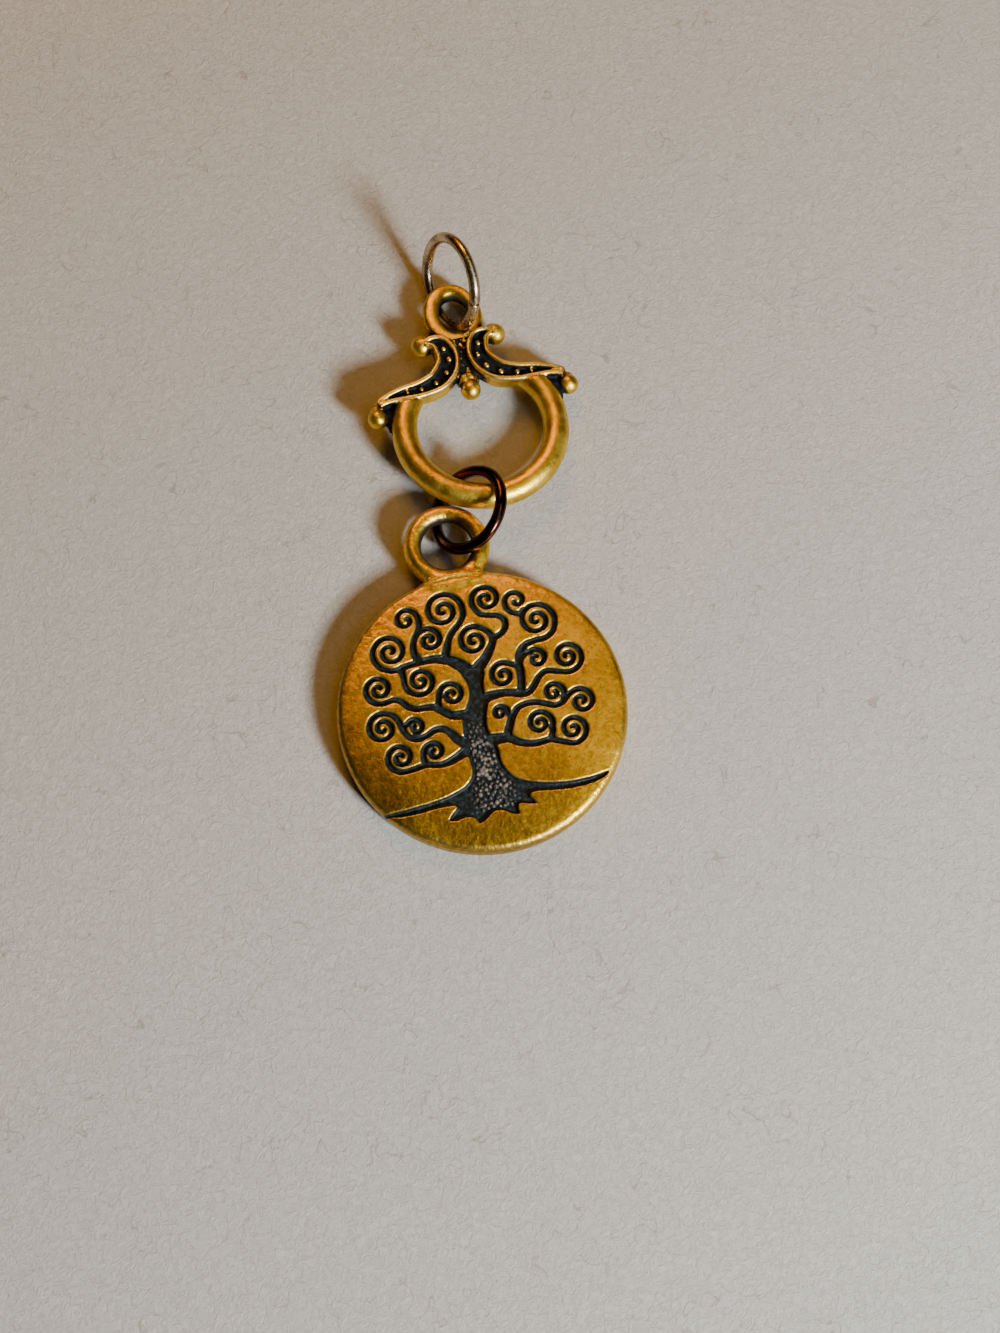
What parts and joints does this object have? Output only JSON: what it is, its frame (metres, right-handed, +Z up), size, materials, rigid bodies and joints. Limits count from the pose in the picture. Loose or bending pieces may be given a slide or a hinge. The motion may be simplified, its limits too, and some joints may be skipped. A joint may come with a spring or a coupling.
{
  "type": "tree of life pendant",
  "caption": "Round cast pendant with a sunk spiral-branch tree, hung by jump rings from a ring link with two scrolls, lying on its back.",
  "frame": {"origin": "under the middle of the whole lying pendant, on the surface that it lies on", "axes": "+Y up the pendant towards the chain's ring, +X to its right, +Z up from the surface"},
  "size_m": [0.019, 0.0432, 0.0065],
  "materials": {
    "antique_gold_charm": "antique gold plate, dark patina in the sunk tree",
    "dark_ring_wire": "dark polished wire",
    "antique_gold_link": "antique gold plate, dark patina in the channels",
    "bright_ring_wire": "polished gunmetal gold wire"
  },
  "bodies": {
    "root": {"tree_charm": "antique_gold_charm", "lower_jump_ring": "dark_ring_wire", "scroll_link": "antique_gold_link", "upper_jump_ring": "bright_ring_wire"}
  },
  "joints": []
}
